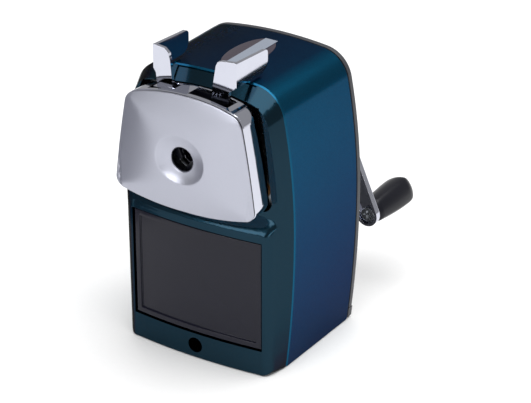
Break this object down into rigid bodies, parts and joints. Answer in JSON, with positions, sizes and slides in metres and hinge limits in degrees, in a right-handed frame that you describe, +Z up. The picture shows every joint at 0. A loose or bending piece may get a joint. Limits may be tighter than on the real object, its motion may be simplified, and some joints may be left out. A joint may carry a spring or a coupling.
{
  "type": "desk pencil sharpener",
  "caption": "Hand-crank desk pencil sharpener: barrel-sided body, sliding chuck head with finger levers, smoked shavings drawer and rear crank with a turning knob.",
  "frame": {"origin": "on the table, in the middle of the rubber foot ring", "axes": "+Z up, -Y is the front where the pencil goes in, +X to the right as seen from the front"},
  "size_m": [0.0762, 0.1248, 0.1271],
  "materials": {
    "teal_paint": "metallic gloss",
    "charcoal_plastic": "satin",
    "rubber": "matt",
    "zinc_steel": "bright zinc",
    "label_plastic": "gloss",
    "silver_bar": "satin",
    "black_plastic": "satin",
    "bronze": "sintered",
    "spring_steel": "drawn",
    "satin_metal": "satin",
    "chrome": "polished",
    "polished_steel": "ground",
    "tool_steel": "ground",
    "cast_zinc": "cast",
    "smoked_plastic": "gloss, smoked clear"
  },
  "bodies": {
    "housing": {"outer_shell": "teal_paint", "front_bezel": "teal_paint", "rear_cover": "charcoal_plastic", "base_pan": "charcoal_plastic", "rubber_foot": "rubber", "rear_cover_screws": "zinc_steel", "base_screws": "zinc_steel", "frame_screws": "zinc_steel", "bezel_screws": "zinc_steel", "top_label": "label_plastic", "top_label_bar": "silver_bar", "mech_frame": "zinc_steel", "ring_gear": "black_plastic", "rod_bushes": "bronze", "shaft_bushes": "bronze", "return_springs": "spring_steel"},
    "head": {"face_plate": "satin_metal", "plate_gasket": "black_plastic", "head_shell": "chrome", "head_back": "black_plastic", "guide_rods": "polished_steel", "chuck_plate": "zinc_steel", "jaw_pins": "polished_steel", "left_finger_lever": "chrome", "lever_rivets": "polished_steel", "lever_spring": "spring_steel"},
    "squeeze_lever": {"right_finger_lever": "chrome"},
    "jaw_1": {"chuck_jaw_1": "black_plastic"},
    "jaw_2": {"chuck_jaw_2": "black_plastic"},
    "jaw_3": {"chuck_jaw_3": "black_plastic"},
    "crank": {"cutter_carrier": "cast_zinc", "cutter_axle": "polished_steel", "crank_shaft": "polished_steel", "crank_hub": "black_plastic", "crank_arm": "chrome", "crank_nut": "chrome"},
    "cutter": {"helical_cutter": "tool_steel", "cutter_pinion": "zinc_steel"},
    "knob": {"crank_knob": "black_plastic", "knob_screw": "zinc_steel"},
    "drawer": {"shavings_drawer": "smoked_plastic"}
  },
  "joints": [
    {"name": "head_pull", "type": "slide", "parent": "housing", "child": "head", "axis": [0, -1, 0], "range_m": [0, 0.026], "stiffness_N_per_m": 150, "springref_m": -0.02, "deforming": ["return_springs"]},
    {"name": "lever_squeeze", "type": "hinge", "parent": "head", "child": "squeeze_lever", "pos_m": [0, -0.0275, 0.088], "axis": [0, -1, 0], "range_deg": [0, 15], "stiffness_Nm_per_rad": 0.25, "springref_deg": -20.05, "deforming": ["lever_spring"]},
    {"name": "jaw_1_swing", "type": "hinge", "parent": "head", "child": "jaw_1", "pos_m": [0.00953, -0.0332, 0.0935], "axis": [0, 1, 0], "range_deg": [0, 22.1]},
    {"name": "jaw_2_swing", "type": "hinge", "parent": "head", "child": "jaw_2", "pos_m": [0, -0.0332, 0.077], "axis": [0, 1, 0], "range_deg": [0, 22.1]},
    {"name": "jaw_3_swing", "type": "hinge", "parent": "head", "child": "jaw_3", "pos_m": [-0.00953, -0.0332, 0.0935], "axis": [0, 1, 0], "range_deg": [0, 22.1]},
    {"name": "crank_turn", "type": "hinge", "parent": "housing", "child": "crank", "pos_m": [0, 0.05, 0.088], "axis": [0, 1, 0], "continuous": true},
    {"name": "cutter_spin", "type": "hinge", "parent": "crank", "child": "cutter", "pos_m": [0, -0.0124, 0.099], "axis": [0, 0.9864, -0.1644], "continuous": true},
    {"name": "knob_spin", "type": "hinge", "parent": "crank", "child": "knob", "pos_m": [0.0276, 0.07, 0.0336], "axis": [0, 1, 0], "continuous": true},
    {"name": "drawer_slide", "type": "slide", "parent": "housing", "child": "drawer", "axis": [0, -1, 0], "range_m": [0, 0.036]}
  ],
  "couplings": [
    {"joint": "jaw_1_swing", "follows": "lever_squeeze", "ratio": 1.467},
    {"joint": "jaw_2_swing", "follows": "lever_squeeze", "ratio": 1.467},
    {"joint": "jaw_3_swing", "follows": "lever_squeeze", "ratio": 1.467},
    {"joint": "cutter_spin", "follows": "crank_turn", "ratio": -2.8333}
  ]
}
